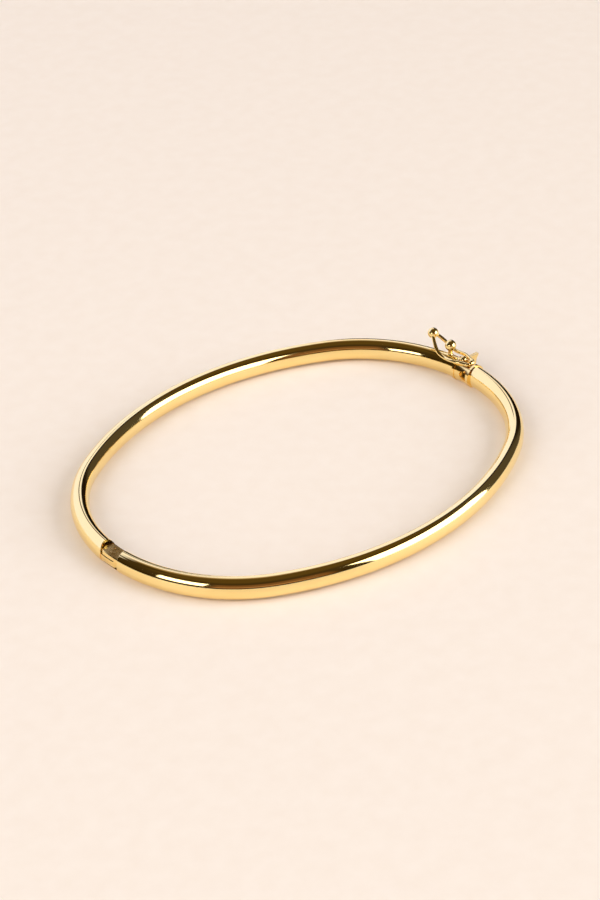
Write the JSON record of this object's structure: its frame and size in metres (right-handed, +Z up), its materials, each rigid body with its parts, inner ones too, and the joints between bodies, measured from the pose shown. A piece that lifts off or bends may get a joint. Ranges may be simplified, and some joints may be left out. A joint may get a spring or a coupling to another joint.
{
  "type": "hinged bangle",
  "caption": "Oval hinged bangle of thin hollow tube, with a knuckle hinge at one end and a box clasp with a thumb tab and a lift-off wire loop as a safety catch at the other",
  "frame": {"origin": "centre of the oval's opening, on the plane that the bangle lies on", "axes": "X along the oval's long axis, hinge at -X and clasp at +X; Y along its short axis; Z up, across the lying bangle"},
  "size_m": [0.0671, 0.0482, 0.0059],
  "materials": {
    "gold": "polished"
  },
  "bodies": {
    "front": {"front_half": "gold", "hinge_pin": "gold"},
    "back": {"back_half": "gold", "clasp_tongue": "gold"},
    "catch": {"safety_catch": "gold"}
  },
  "joints": [
    {"name": "main_hinge", "type": "hinge", "parent": "front", "child": "back", "pos_m": [-0.03139, 0.0007, 0.00166], "axis": [0, 0, 1], "range_deg": [0, 60]},
    {"name": "catch_pivot", "type": "hinge", "parent": "front", "child": "catch", "pos_m": [0.0314, -0.00085, 0.00326], "axis": [1, 0, 0], "range_deg": [0, 110]}
  ]
}
